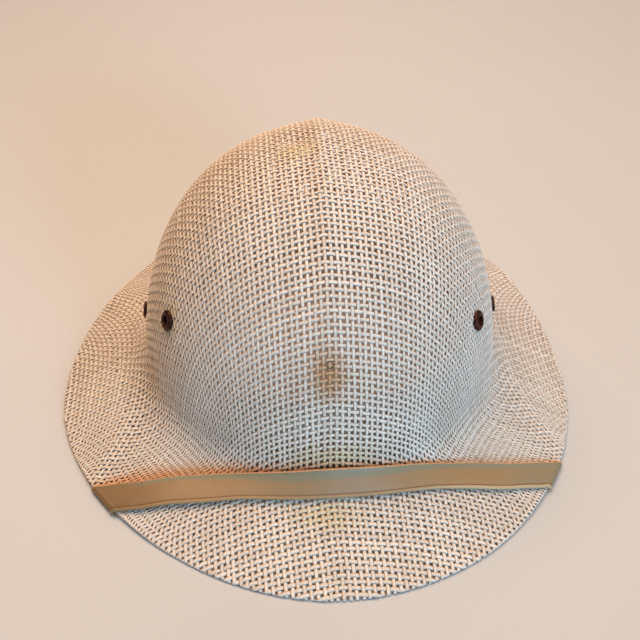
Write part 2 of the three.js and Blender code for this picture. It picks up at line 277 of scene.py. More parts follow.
left_p, left_q = half_net(-ACROSS_WAY)
right_p, right_q = half_net(ACROSS_WAY)
net_p = np.concatenate([left_p[:0:-1], right_p], axis=0)
net_q = np.concatenate([left_q[:0:-1], right_q], axis=0)
net_points = map_point(net_p, net_q)
warp_way = np.gradient(net_points, axis=1)
weft_way = np.gradient(net_points, axis=0)
lean = np.linalg.norm(np.cross(warp_way, weft_way), axis=-1)
lean /= np.linalg.norm(warp_way, axis=-1) * np.linalg.norm(weft_way, axis=-1)
on_hat = np.hypot(net_p, net_q) < 1
print("crossings on the hat:", int(on_hat.sum()))
print("sharpest diamond, degrees:", round(math.degrees(math.asin(lean[on_hat].min())), 1))

# %% [markdown]
# ## From net to threads
# Each row and column of the net is one thread. It passes over and under its neighbours by turns, so
# it gets two points at each crossing, a quarter of a spacing before and after it, and both stand out
# or in. Between crossings it then runs straight from one face of the cloth to the other, as paper
# yarn does. Where the diamonds are sharp the threads are crowded, and each is made narrower there. On
# the brim, where the press flattened them, they may be wider. A ridge and a dent then move the cloth by
# a millimetre or two, where the hat has lost its form. At the edge the cloth rolls under: past the
# start of the roll a point's distance turns into an angle round a small circle, and then into a short
# flap under the brim.

# %% Sizes of the threads and of the rolled edge
THREAD_WIDTH = 0.00188
THREAD_THICKNESS = 0.00064
CROWDED_SHARE = 0.59
BRIM_SHARE = 0.66
BRIM_WIDER = 0.36
BRIM_WIDER_FROM = (1.2, 1.8)
CRIMP = 0.00028
CROSSING_SHARE = 0.25
ROLL_INSET = 0.0009
ROLL_RADIUS = 0.0006
ROLL_FLAP = 0.0022
ROLL_STEPS = 6
ROLL_LENGTH = math.pi * ROLL_RADIUS
TAIL_PAST = np.append(np.linspace(0, ROLL_LENGTH, ROLL_STEPS), ROLL_LENGTH + ROLL_FLAP)
TAIL_LEAST_GAIN = 0.0013
HEM_PROUD = 0.0005
HEM_PROUD_WIDTH = 0.006
WANDER = 0.05
WANDER_STEP = 5
WEAVE_SEED = 20
random = np.random.default_rng(WEAVE_SEED)

# %% A soft ridge over the crown, and a dent beside it
RIDGE = {"x": 0.001, "rise": 0.0014, "width": 0.012, "level": 0.35, "heights": (0.060, 0.095)}
DENT = {"centre": (-0.0142, 0.0161, 0.1460), "depth": 0.0022, "reach": 0.010}


def ridge_and_dent(point):
    high = smooth_between(point[..., 2] - FOOT_Z, *RIDGE["heights"])
    ridge = np.exp(-np.abs(point[..., 0] - RIDGE["x"]) / RIDGE["width"]) - RIDGE["level"]
    away = np.linalg.norm(point - np.array(DENT["centre"]), axis=-1)
    return RIDGE["rise"] * ridge * high - DENT["depth"] * np.exp(-((away / DENT["reach"]) ** 2))


# %% The middle of the cloth, and its outward direction
def past_roll(p, q):
    station, angle = place_of(p, q)
    return (station - 3) * overhang(angle) + ROLL_INSET


def cloth(p, q):
    point, along_p, along_q = map_slopes(p, q)
    outward = np.cross(along_p, along_q)
    outward /= np.linalg.norm(outward, axis=-1, keepdims=True)
    proud = HEM_PROUD * smooth_between(past_roll(p, q), -HEM_PROUD_WIDTH, 0)
    depth = proud - WALL / 2 + ridge_and_dent(point)
    return point + outward * depth[..., None], outward


def onto_roll(p, q):
    station = 3 - ROLL_INSET / overhang(np.arctan2(p, -q))
    scale = np.interp(station, MAP_STATIONS, MAP_RADII) / np.hypot(p, q)
    return p * scale, q * scale


def rolled_cloth(p, q, past):
    p, q = onto_roll(p, q)
    start, outward = cloth(p, q)
    inner = 1 - 1e-3
    onward = start - cloth(p * inner, q * inner)[0]
    onward -= outward * (onward * outward).sum(-1, keepdims=True)
    onward /= np.linalg.norm(onward, axis=-1, keepdims=True)
    turn = np.clip(past / ROLL_RADIUS, 0, math.pi)[..., None]
    flap = np.maximum(past - ROLL_LENGTH, 0)[..., None]
    facing = np.sin(turn) * onward + np.cos(turn) * outward
    return start - outward * ROLL_RADIUS + facing * ROLL_RADIUS - onward * flap, facing


# %% The course of one thread
def between(values, position):
    return np.interp(position, np.arange(len(values)), values)


def hem_crossing(past, inside, outside):
    return inside + (outside - inside) * past[inside] / (past[inside] - past[outside])


def course(line_p, line_q, side_p, side_q, room, parity):
    past = past_roll(line_p, line_q)
    inside = np.flatnonzero(past < 0)
    if len(inside) < 2:
        return None
    first, last = inside[0], inside[-1]
    ends = hem_crossing(past, first, first - 1), hem_crossing(past, last, last + 1)
    knots = np.repeat(np.arange(first, last + 1), 2)
    where = knots + np.tile([-CROSSING_SHARE, CROSSING_SHARE], last - first + 1)
    over = np.where((knots + parity) % 2 == 0, 1.0, -1.0)
    kept = (where > ends[0] + CROSSING_SHARE) & (where < ends[1] - CROSSING_SHARE)
    where = np.concatenate([[ends[0]], where[kept], [ends[1]]])
    over = np.concatenate([[0.0], over[kept], [0.0]])
    drift_knots = np.arange(0, len(line_p), WANDER_STEP)
    drift = np.interp(where, drift_knots, random.normal(0, WANDER, len(drift_knots)))
    drift += random.normal(0, WANDER / 2)
    p = between(line_p, where) + drift * between(side_p, where)
    q = between(line_q, where) + drift * between(side_q, where)
    p[[0, -1]], q[[0, -1]] = onto_roll(p[[0, -1]], q[[0, -1]])
    tails = []
    for at, inner, outer in ((0, first, first - 1), (-1, last, last + 1)):
        gain = max(past[outer] - past[inner], TAIL_LEAST_GAIN)
        way_p, way_q = (line_p[outer] - line_p[inner]) / gain, (line_q[outer] - line_q[inner]) / gain
        tails.append((p[at] + way_p * TAIL_PAST, q[at] + way_q * TAIL_PAST))
    return {"p": p, "q": q, "over": over, "room": between(room, where), "tails": tails}


# %% Lay all threads
def all_courses(p, q, room):
    side_p = np.gradient(p, axis=0)
    side_q = np.gradient(q, axis=0)
    rows = []
    for index in range(len(p)):
        found = course(p[index], q[index], side_p[index], side_q[index], room[index], index)
        if found is not None:
            found["index"] = index - (HALF_COUNT - 1)
            found["tone"] = random.uniform(-1, 1)
            rows.append(found)
    return rows


warp = all_courses(net_p, net_q, PITCH_ACROSS * lean)
weft = all_courses(net_p.T, net_q.T, PITCH_ALONG * lean.T)
for thread in weft:
    thread["over"] = -thread["over"]
print("threads front to back:", len(warp), "and side to side:", len(weft))

# %% [markdown]
# ## Where the cloth is broken
# Four eyelets were punched through the weave, so the threads end under their flanges. The breaks are
# made by dropping the line between two points, which is simpler and cleaner than cutting finished
# tubes with a boolean. At the front a pin has only left a ring of dirt, which the colours show later.

# %% Places of the eyelets and of the pin's mark
EYELETS = (
    {"node": "vent_eyelet_left", "angle": -61, "height": 0.059, "scale": 1.0},
    {"node": "vent_eyelet_right", "angle": 61, "height": 0.056, "scale": 1.0},
    {"node": "side_eyelet_left", "angle": -88, "height": 0.033, "scale": 0.836},
    {"node": "side_eyelet_right", "angle": 88, "height": 0.033, "scale": 0.836},
)
EYELET_BARREL = 0.0036
THREAD_END = 0.0032
PIN_ANGLE = 1.2
PIN_HEIGHT = 0.0675


def wall_place(angle, height):
    share = (height / CROWN_HEIGHT) ** (CROWN_SQUARENESS / 2)
    radius = np.interp(math.acos(share) / WALL_POLAR, MAP_STATIONS, MAP_RADII)
    turn = math.radians(angle)
    return np.array(radius * math.sin(turn)), np.array(-radius * math.cos(turn))


eyelet_places = [cloth(*wall_place(row["angle"], row["height"])) for row in EYELETS]
pin_point = cloth(*wall_place(PIN_ANGLE, PIN_HEIGHT))[0]
print("pin mark at", pin_point.round(4))


# %% Find the broken stretches of the threads
def is_broken(points):
    broken = np.zeros(len(points), bool)
    for row, (centre, _) in zip(EYELETS, eyelet_places):
        reach = THREAD_END * row["scale"]
        broken |= np.linalg.norm(points - centre, axis=-1) < reach
    return broken


# %% [markdown]
# ## A small wrapper for node trees
# Node trees read better as expressions than as lists of nodes and links. The class below holds one
# output socket. Adding or multiplying two of them makes the Math node that does it, and one method
# makes every other kind of node. Shader trees and geometry trees are both built with it.

# %% The wrapper
def find_socket(sockets, key):
    if isinstance(key, int):
        return sockets[key]
    return next(socket for socket in sockets if key in (socket.identifier, socket.name))


class Wire:
    """One output socket of a node tree, for use in Python expressions."""

    def __init__(self, tree, socket=None):
        self.tree = tree
        self.socket = socket

    def feed(self, target, value):
        """Link a wire to an input socket, or set a plain value on it."""
        if isinstance(value, Wire):
            self.tree.links.new(value.socket, target)
        else:
            target.default_value = value

    def node(self, kind, settings=None, sockets=None, output=0):
        """Add a node: its settings first, then the values or links of its sockets."""
        made = self.tree.nodes.new(kind)
        for name, setting in (settings or {}).items():
            setattr(made, name, setting)
        for key, value in (sockets or {}).items():
            self.feed(find_socket(made.inputs, key), value)
        return Wire(self.tree, find_socket(made.outputs, output))

    def maths(self, operation, first, second=0.0):
        """Add a Math node."""
        return self.node("ShaderNodeMath", {"operation": operation}, {0: first, 1: second})

    def __add__(self, other):
        return self.maths("ADD", self, other)

    def __radd__(self, other):
        return self.maths("ADD", other, self)

    def __sub__(self, other):
        return self.maths("SUBTRACT", self, other)

    def __rsub__(self, other):
        return self.maths("SUBTRACT", other, self)

    def __mul__(self, other):
        return self.maths("MULTIPLY", self, other)

    def __rmul__(self, other):
        return self.maths("MULTIPLY", other, self)

    def __truediv__(self, other):
        return self.maths("DIVIDE", self, other)


# %% Short names for the shader nodes that are used again and again
def srgb(red, green, blue):
    parts = [channel / 255 for channel in (red, green, blue)]
    linear = [part / 12.92 if part <= 0.04045 else ((part + 0.055) / 1.055) ** 2.4 for part in parts]
    return (*linear, 1.0)


def start_material(name):
    material = bpy.data.materials.new(name)
    material.use_nodes = True
    tree = material.node_tree
    return material, Wire(tree), tree.nodes["Principled BSDF"]


def set_shader(start, shader, values):
    for name, value in values.items():
        start.feed(shader.inputs[name], value)


def object_place(start):
    return start.node("ShaderNodeTexCoord", output="Object")


def attribute(start, name):
    return start.node("ShaderNodeAttribute", {"attribute_name": name}, output="Fac")


def noise(place, scale, detail=2.0, roughness=0.5):
    sockets = {"Vector": place, "Scale": scale, "Detail": detail, "Roughness": roughness}
    return place.node("ShaderNodeTexNoise", sockets=sockets)


def fade(value, low, high):
    """0 at low and 1 at high, smooth between them. Low may be the larger of the two."""
    settings = {"interpolation_type": "SMOOTHSTEP"}
    return value.node("ShaderNodeMapRange", settings, {"Value": value, 1: low, 2: high})


def mix(factor, first, second):
    sockets = {"Factor_Float": factor, "A_Color": first, "B_Color": second}
    return factor.node("ShaderNodeMix", {"data_type": "RGBA"}, sockets, "Result_Color")


def spot(place, centre, size):
    """Distance from a centre, measured in the sizes of an ellipsoid."""
    shift = place.node("ShaderNodeVectorMath", {"operation": "SUBTRACT"}, {0: place, 1: centre})
    scaled = place.node("ShaderNodeVectorMath", {"operation": "DIVIDE"}, {0: shift, 1: size})
    return place.node("ShaderNodeVectorMath", {"operation": "LENGTH"}, {0: scaled}, "Value")


def bump(height, distance, strength=1.0):
    sockets = {"Strength": strength, "Distance": distance, "Height": height}
    return height.node("ShaderNodeBump", sockets=sockets)


print("wrapper ready:", [name for name in vars(Wire) if name.startswith("__r")])

# %% [markdown]
# ## Paper yarn
# The yarn is twisted paper, matt and ivory, and no two threads have quite the same tone. Age has left
# marks: rust round the pin's place, tan along the strap, and yellow patches low in front, on the top
# and by one eyelet. A painted picture could hold them, but procedural marks have no resolution and need
# no unwrapping. Each thread carries its own tone as an attribute, and the marks are soft distances from
# named places. Another attribute tells the outer face of the yarn from its sides, and the sides are
# painted darker and browner as shade between the threads, most of all in the rust and the tan.

# %% Colours and places of the marks
YARN_PALE = srgb(234, 221, 207)
YARN_DARK = srgb(198, 180, 162)
# Painted shade: a warm brown for the sides of the yarn, where shade falls between the threads.
YARN_SIDE_SHADE = srgb(148, 110, 82)
RUST_TOP = srgb(190, 142, 94)
# Dark rust: the pin's ring of dirt, and painted shade on the sides of the threads within the rust stain.
RUST_RING_AND_SHADED_SIDES = srgb(72, 40, 20)
RUST_SHIFT = (-0.001, 0.0, -0.005)
RUST_SIZE = (0.012, 0.02, 0.0175)
PIN_RING = (0.0018, 0.0018, 0.0018)
STRAP_TAN_TOP = srgb(214, 150, 100)
# The tan mark is a real stain; this deeper tan paints shade on the sides of the threads within it.
STRAP_TAN_SHADED = srgb(112, 60, 28)
AGE_YELLOW = srgb(206, 184, 136)
AGE_SPOTS = (
    {"centre": (0.004, -0.1165, 0.036), "size": (0.034, 0.012, 0.010)},
    {"centre": (0.0, -0.135, 0.0155), "size": (0.022, 0.012, 0.008)},
    {"centre": (-0.010, 0.0, 0.1465), "size": (0.016, 0.012, 0.008)},
    {"centre": tuple(eyelet_places[0][0]), "size": (0.010, 0.010, 0.016)},
)
TWIST_LEAD = 0.0026


# %% The yarn's material
def paper_yarn():
    material, start, shader = start_material("paper_yarn")
    place = object_place(start)
    grain = noise(place, 700, 3)
    cloud = noise(place, 38, 3)
    tone = 0.5 + 0.22 * attribute(start, "tone") + 0.5 * (cloud - 0.5) + 0.5 * (grain - 0.5)
    colour = mix(tone.maths("MINIMUM", tone.maths("MAXIMUM", tone, 0.0), 1.0), YARN_DARK, YARN_PALE)
    # The sides of every thread are painted darker and browner, as shade between the threads.
    shaded_sides = fade(attribute(start, "outer"), 0.8, -0.3)
    colour = mix(0.6 * shaded_sides, colour, YARN_SIDE_SHADE)
    rough_edge = 0.9 * (noise(place, 190, 4) - 0.5)
    for row in AGE_SPOTS:
        mark = fade(spot(place, row["centre"], row["size"]) + rough_edge, 1.1, 0.2)
        colour = mix(0.55 * mark, colour, AGE_YELLOW)
    tan = fade(attribute(start, "strap_mark") + 0.35 * rough_edge, 0.15, 0.95)
    # Within the tan mark the sides of the threads are painted deeper, as shade.
    colour = mix(0.8 * tan, colour, mix(shaded_sides, STRAP_TAN_TOP, STRAP_TAN_SHADED))
    rust_place = tuple(pin_point + np.array(RUST_SHIFT))
    rust = fade(spot(place, rust_place, RUST_SIZE) + rough_edge, 1.15, 0.1)
    # Within the rust the sides of the threads are painted darker, as shade.
    colour = mix(0.9 * rust, colour, mix(shaded_sides, RUST_TOP, RUST_RING_AND_SHADED_SIDES))
    ring = start.maths("ABSOLUTE", spot(place, tuple(pin_point), PIN_RING) - 1)
    colour = mix(0.8 * fade(ring + 0.3 * rough_edge, 0.5, 0.1), colour, RUST_RING_AND_SHADED_SIDES)
    turns = attribute(start, "along") / TWIST_LEAD + attribute(start, "around")
    twist = start.maths("SINE", turns * (2 * math.pi))
    set_shader(start, shader, {
        "Base Color": colour, "Roughness": 0.58 + 0.25 * grain, "Specular IOR Level": 0.35,
        "Normal": bump(0.35 * twist + grain, 0.00012),
    })
    return material


yarn_material = paper_yarn()
print("yarn nodes:", len(yarn_material.node_tree.nodes))

# %% [markdown]
# ## Tubes along the threads
# So far a thread is a line. Geometry Nodes turn all lines of a group into yarn at once: they move
# each point out or in by the crimp, make curves of the lines, turn the curves' own frame so that it
# faces out of the cloth, and sweep a flat six-sided profile along them. Facing out matters, because
# the yarn is flat: left to itself a curve would twist and show its thin side.

# %% Building blocks for geometry trees
def start_tree(name, sockets):
    tree = bpy.data.node_groups.new(name, "GeometryNodeTree")
    tree.interface.new_socket("Geometry", in_out="INPUT", socket_type="NodeSocketGeometry")
    tree.interface.new_socket("Geometry", in_out="OUTPUT", socket_type="NodeSocketGeometry")
    for label, kind in sockets.items():
        tree.interface.new_socket(label, in_out="INPUT", socket_type=kind)
    group = tree.nodes.new("NodeGroupInput")
    wires = {socket.name: Wire(tree, socket) for socket in group.outputs if socket.name}
    return tree, wires


def end_tree(geometry, material):
    real = geometry.node("GeometryNodeRealizeInstances", sockets={"Geometry": geometry})
    done = geometry.node("GeometryNodeSetMaterial", sockets={"Geometry": real, "Material": material})
    output = geometry.tree.nodes.new("NodeGroupOutput")
    geometry.feed(output.inputs[0], done)


def named(start, name, kind="FLOAT"):
    return start.node("GeometryNodeInputNamedAttribute", {"data_type": kind}, {"Name": name})


def stored(geometry, name, value):
    sockets = {"Geometry": geometry, "Name": name, "Value": value}
    return geometry.node("GeometryNodeStoreNamedAttribute", sockets=sockets)


def grow(obj, tree, values):
    """Run a tree on an object, keep the result as a plain mesh and remove the modifier."""
    modifier = obj.modifiers.new(tree.name, "NODES")
    modifier.node_group = tree
    for item in tree.interface.items_tree:
        if item.in_out == "INPUT" and item.name in values:
            modifier[item.identifier] = values[item.name]
    evaluated = obj.evaluated_get(bpy.context.evaluated_depsgraph_get())
    mesh = bpy.data.meshes.new_from_object(evaluated)
    obj.modifiers.remove(modifier)
    obj.data = mesh
    mesh.calc_loop_triangles()
    print(obj.name, "triangles:", len(mesh.loop_triangles))
    return obj


# %% The yarn tree
YARN_SIDES = 6
FLAT_SIDE_TURN = math.radians(210)


def yarn_tree():
    sockets = {
        "Crimp": "NodeSocketFloat", "Width": "NodeSocketFloat", "Thickness": "NodeSocketFloat",
        "Sides": "NodeSocketInt", "Material": "NodeSocketMaterial",
    }
    tree, given = start_tree("yarn", sockets)
    lines = given["Geometry"]
    outward = named(lines, "outward", "FLOAT_VECTOR")
    height = named(lines, "over") * given["Crimp"]
    offset = lines.node("ShaderNodeVectorMath", {"operation": "SCALE"}, {0: outward, "Scale": height})
    lines = lines.node("GeometryNodeSetPosition", sockets={"Geometry": lines, "Offset": offset})
    curves = lines.node("GeometryNodeMeshToCurve", sockets={"Mesh": lines})
    curves = lines.node(
        "GeometryNodeSetCurveNormal", {"mode": "FREE"}, {"Curve": curves, "Normal": outward})
    length = lines.node("GeometryNodeSplineParameter", output="Length")
    curves = stored(curves, "along", length)
    circle = {"Resolution": given["Sides"], "Radius": 0.5}
    profile = lines.node("GeometryNodeCurvePrimitiveCircle", sockets=circle)
    turn = lines.node("GeometryNodeSplineParameter", output="Factor")
    profile = stored(profile, "around", turn)
    flat_side_out = {"Geometry": profile, "Rotation": (0, 0, FLAT_SIDE_TURN)}
    profile = lines.node("GeometryNodeTransform", sockets=flat_side_out)
    place = lines.node("GeometryNodeInputPosition")
    outer = lines.node("ShaderNodeSeparateXYZ", sockets={0: place}, output="X") * 2
    profile = stored(profile, "outer", outer)
    flat = {"X": given["Thickness"], "Y": given["Width"], "Z": 1.0}
    size = lines.node("ShaderNodeCombineXYZ", sockets=flat)
    profile = lines.node("GeometryNodeTransform", sockets={"Geometry": profile, "Scale": size})
    sweep = {"Curve": curves, "Profile Curve": profile, "Scale": named(lines, "squeeze"), "Fill Caps": True}
    tubes = lines.node("GeometryNodeCurveToMesh", sockets=sweep)
    tubes = lines.node("GeometryNodeSetShadeSmooth", sockets={"Geometry": tubes})
    end_tree(tubes, given["Material"])
    return tree


# %% Lines with attributes, ready for the tree
def placed(name, data):
    obj = bpy.data.objects.new(name, data)
    bpy.context.scene.collection.objects.link(obj)
    return obj


def line_object(name, points, linked, values):
    mesh = bpy.data.meshes.new(name)
    mesh.from_pydata(points.tolist(), np.flatnonzero(linked)[:, None] + [0, 1], [])
    for label, column in values.items():
        kind = "FLOAT_VECTOR" if column.ndim == 2 else "FLOAT"
        field = "vector" if column.ndim == 2 else "value"
        layer = mesh.attributes.new(label, kind, "POINT")
        layer.data.foreach_set(field, column.astype(np.float32).ravel())
    return placed(name, mesh)


def joined(threads, key):
    return np.concatenate([thread[key] for thread in threads])


def repeated(threads, key):
    return np.concatenate([np.full(len(thread["p"]), thread[key]) for thread in threads])


# %% [markdown]
# ## The strap's course
# The strap's place is needed before the threads are grown, because it has left a tan mark on them.
# Its route over the brim is a short table of rulings, each from the lower to the upper edge of the
# strap, as an angle and a station on the block, and the height in millimetres at which the strap
# stands off it. The first and the last row also say how far the strap reaches past the edge of the
# brim before it turns under. A smooth curve through the table gives the rest.

# %% Route of the strap over the brim
STRAP_ROUTE = (
    {"lower": (-49.2, 2.96, 0.8), "upper": (-57.3, 2.96, 0.8), "reach": (2.9, 2.1)},
    {"lower": (-46.1, 2.782, 1.5), "upper": (-51.7, 2.566, 1.5)},
    {"lower": (-37.7, 2.36, 2.4), "upper": (-41.3, 2.02, 2.0)},
    {"lower": (-21.1, 1.93, 2.0), "upper": (-22.2, 1.44, 1.5)},
    {"lower": (0.2, 1.75, 1.3), "upper": (0.7, 1.15, 1.3)},
    {"lower": (19.7, 1.845, 1.4), "upper": (22.9, 1.35, 1.3)},
    {"lower": (35.0, 2.14, 1.8), "upper": (42.2, 1.92, 1.6)},
    {"lower": (47.4, 2.612, 1.5), "upper": (55.5, 2.536, 1.5)},
    {"lower": (54.1, 2.96, 0.8), "upper": (62.1, 2.96, 0.8), "reach": (2.3, 2.1)},
)


def smooth_rows(rows, share):
    """Catmull-Rom curve through equally spaced rows."""
    rows = np.asarray(rows, float)
    padded = np.vstack([2 * rows[0] - rows[1], rows, 2 * rows[-1] - rows[-2]])
    position = np.clip(share, 0, 1) * (len(rows) - 1)
    index = np.minimum(position.astype(int), len(rows) - 2)
    t = (position - index)[:, None]
    a, b, c, d = (padded[index + step] for step in range(4))
    curve = 2 * b + (c - a) * t + (2 * a - 5 * b + 4 * c - d) * t**2 + (3 * b - a - 3 * c + d) * t**3
    return curve / 2


def route(edge, share):
    rows = smooth_rows([row[edge] for row in STRAP_ROUTE], share)
    return np.radians(rows[:, 0]), rows[:, 1], rows[:, 2] / 1000


# %% How near each thread point lies to the strap's upper edge
MARK_PLACES = (0.0, 0.14, 0.30, 0.42, 0.60, 1.0)
MARK_REACHES = (0.006, 0.016, 0.014, 0.008, 0.005, 0.004)
MARK_SHARES = np.linspace(0.01, 0.99, 100)


def strap_mark(points):
    angle, station, _ = route("upper", MARK_SHARES)
    edge = block_point(station, angle)
    mark = np.zeros(len(points))
    for spot_on_edge, reach in zip(edge, np.interp(MARK_SHARES, MARK_PLACES, MARK_REACHES)):
        mark = np.maximum(mark, 1 - np.linalg.norm(points - spot_on_edge, axis=1) / reach)
    return mark


# %% Grow the four sheets of threads
YARN_SIZES = {
    "Crimp": CRIMP, "Width": THREAD_WIDTH, "Thickness": THREAD_THICKNESS, "Sides": YARN_SIDES,
    "Material": yarn_material,
}
yarn = yarn_tree()


def thread_sheet(name, threads):
    p, q = joined(threads, "p"), joined(threads, "q")
    points, outward = cloth(p, q)
    thread_number = repeated(threads, "index")
    broken = is_broken(points)
    linked = (thread_number[1:] == thread_number[:-1]) & ~broken[1:] & ~broken[:-1]
    on_brim = smooth_between(place_of(p, q)[0], *BRIM_WIDER_FROM)
    share = CROWDED_SHARE + (BRIM_SHARE - CROWDED_SHARE) * on_brim
    squeeze = np.minimum(1 + BRIM_WIDER * on_brim, share * joined(threads, "room") / THREAD_WIDTH)
    values = {
        "outward": outward, "over": joined(threads, "over") * squeeze, "squeeze": squeeze,
        "tone": repeated(threads, "tone"), "strap_mark": strap_mark(points),
    }
    return grow(line_object(name, points, linked, values), yarn, YARN_SIZES)


sheets = [
    thread_sheet("warp_left", [row for row in warp if row["index"] < 0]),
    thread_sheet("warp_right", [row for row in warp if row["index"] >= 0]),
    thread_sheet("weft_front", [row for row in weft if row["index"] < 0]),
    thread_sheet("weft_back", [row for row in weft if row["index"] >= 0]),
]


# %% Attach the sheets to the body and hide the solid they stand for
def settle(piece, slot, *nodes):
    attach(piece, BODY)
    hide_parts(*nodes)


for sheet in sheets:
    settle(sheet, "weave", "woven_shell")

# %% [markdown]
# ## The turned edge
# At the edge of the brim the same threads go on round the roll and end on the flap below. They are
# a piece of their own, because the solid hem is one too. Their first points are the last points of
# the sheets, so the yarn runs on without a break.

# %% Grow the rolled ends of all threads
def turned_edge(threads):
    runs = [(thread, tail) for thread in threads for tail in thread["tails"]]
    p = np.concatenate([tail[0] for _, tail in runs])
    q = np.concatenate([tail[1] for _, tail in runs])
    points, outward = rolled_cloth(p, q, np.tile(TAIL_PAST, len(runs)))
    number = np.repeat(np.arange(len(runs)), len(TAIL_PAST))
    room = np.repeat([min(thread["room"][0], thread["room"][-1]) for thread, _ in runs], len(TAIL_PAST))
    squeeze = np.minimum(1, BRIM_SHARE * room / THREAD_WIDTH)
    values = {
        "outward": outward, "over": np.zeros(len(points)), "squeeze": squeeze,
        "tone": np.repeat([thread["tone"] for thread, _ in runs], len(TAIL_PAST)),
        "strap_mark": strap_mark(points),
    }
    linked = number[1:] == number[:-1]
    return grow(line_object("turned_edge", points, linked, values), yarn, YARN_SIZES)


hem = turned_edge(warp + weft)
settle(hem, "hem", "brim_hem")

# %% [markdown]
# ## Lofted pieces
# The strap and the headband are bands: one section, carried along a course. Blender's own bevelled
# curves twist a flat section, so each section is placed here point by point in an array, and
# one helper joins the sections with faces. The helper also keeps a flat map of each band, its length
# one way and its width the other, which the materials read.

# %% A helper that joins sections into a closed mesh
def band(name, grid, flat, looped, material):
    rows, columns = grid.shape[:2]
    number = np.arange(rows * columns).reshape(rows, columns)
    here = number if looped else number[:-1]
    after = np.roll(number, -1, axis=0) if looped else number[1:]
    quads = np.stack([here, np.roll(here, -1, 1), np.roll(after, -1, 1), after], axis=-1)
    faces = quads.reshape(-1, 4).tolist()
    if not looped:
        faces += [number[0].tolist(), number[-1].tolist()]
    mesh = bpy.data.meshes.new(name)
    mesh.from_pydata(grid.reshape(-1, 3).tolist(), [], faces)
    chart = mesh.uv_layers.new(name="flat")
    corners = [loop.vertex_index for loop in mesh.loops]
    chart.data.foreach_set("uv", flat.reshape(-1, 2)[corners].astype(np.float32).ravel())
    work = bmesh.new()
    work.from_mesh(mesh)
    bmesh.ops.recalc_face_normals(work, faces=work.faces)
    work.to_mesh(mesh)
    work.free()
    mesh.shade_smooth()
    mesh.materials.append(material)
    print(name, "faces:", len(mesh.polygons))
    return placed(name, mesh)


# %% [markdown]
# ## The strap
# The strap is a band of tan vinyl, folded over a core and welded along its lower edge, where it has a
# bead and a crease. It lies on the brim, folds round the hem at both ends and runs on below the brim
# to the sewn ends under the headband. Sewing it as cloth would lose its crisp edges, so it is lofted
# from rulings: straight lines across the strap, each from its lower to its upper edge.

# %% Sizes of the strap
STRAP_THICKNESS = 0.0013
STRAP_WIDTH = 0.016
HEM_WIDTH = 0.003
HEM_HEIGHT = 0.0026
FOLD_RISE = 0.0017
FOLD_PATH = (
    (0.0, 1.20), (0.25, 1.08), (0.48, 0.88), (0.72, 0.50), (0.95, 0.10), (1.0, -0.12), (0.90, -0.42),
    (0.5, -0.86), (0.0, -1.0),
)
UNDER_CLEARANCE = 0.0002
THIN_SHARE = 0.55
THIN_FROM = (0.1, 0.7)
FLOOR_GAP = 0.0001
STRAP_ENDS = {"left": (-0.095, -0.010), "right": (0.095, -0.002)}
FRONT_SHARES = np.linspace(0.02, 0.98, 260)
FOLD_SHARES = np.linspace(0, 1, 26)
UNDER_SHARES = np.linspace(0, 1, 26)[1:]


# %% Rulings over the brim and round the hem
def block_outward(station, angle, step=1e-3):
    down = block_point(station + step, angle) - block_point(station - step, angle)
    across = block_point(station, angle + step) - block_point(station, angle - step)
    outward = np.cross(down, across)
    return outward / np.linalg.norm(outward, axis=-1, keepdims=True)


def front_edge(edge):
    angle, station, stand = route(edge, FRONT_SHARES)
    return block_point(station, angle) + stand[:, None] * block_outward(station, angle)


def hem_middle(degrees, step=1e-3):
    angle = np.radians(degrees)
    along = edge_plan(angle + step) - edge_plan(angle - step)
    outward = np.array([along[1], -along[0]]) / np.linalg.norm(along)
    plan = edge_plan(angle) - outward * HEM_WIDTH / 2
    return np.append(plan, edge_lift(angle) + HEM_HEIGHT / 2)


def fold_edges(row, inner):
    middles = [hem_middle(row[edge][0]) for edge in ("lower", "upper")]
    along = (middles[1] - middles[0])[:2]
    outward = np.array([along[1], -along[0]]) / np.linalg.norm(along)
    outward = outward * np.sign(outward @ middles[0][:2])
    path = smooth_rows(FOLD_PATH, FOLD_SHARES)
    edges = []
    for point, edge, reach in zip(middles, ("lower", "upper"), row["reach"]):
        degrees, station, _ = inner[edge]
        onward = point[:2] - block_point(station, math.radians(degrees))[:2]
        onward = onward / (onward @ outward)
        moved = point[:2] + reach / 1000 * path[:, :1] * onward
        edges.append(with_height(moved, point[2] + FOLD_RISE * path[:, 1]))
    return edges


# %% Rulings below the brim
def brim_above(plan, passes=12):
    """Height of the brim's outer face over points in plan."""
    heading = np.arctan2(plan[:, 0], CROWN_CENTRE_Y - plan[:, 1])
    angle = heading
    for _ in range(passes):
        foot = foot_plan(angle)
        across = edge_plan(angle) - foot
        out = ((plan - foot) * across).sum(-1) / (across**2).sum(-1)
        found = foot + across * out[:, None]
        angle = angle + heading - np.arctan2(found[:, 0], CROWN_CENTRE_Y - found[:, 1])
    return brim_point(np.clip(out, 0, 1), angle)[:, 2]


def under_edges(lower, upper, end):
    middle = (lower + upper)[:2] / 2
    run = np.array(end) - middle
    run /= np.linalg.norm(run)
    half = (upper - lower)[:2] / 2
    sewn = np.array([-run[1], run[0]]) * STRAP_WIDTH / 2
    sewn = sewn * np.sign(sewn @ half)
    share = UNDER_SHARES[:, None]
    halves = half + (sewn - half) * smooth_between(share, 0, 1)
    middles = middle + (np.array(end) - middle) * share
    half_thin = THIN_SHARE * STRAP_THICKNESS / 2
    drop = WALL + UNDER_CLEARANCE + half_thin
    edges = [middles - halves, middles + halves]
    return [with_height(edge, np.maximum(brim_above(edge) - drop, half_thin + FLOOR_GAP)) for edge in edges]


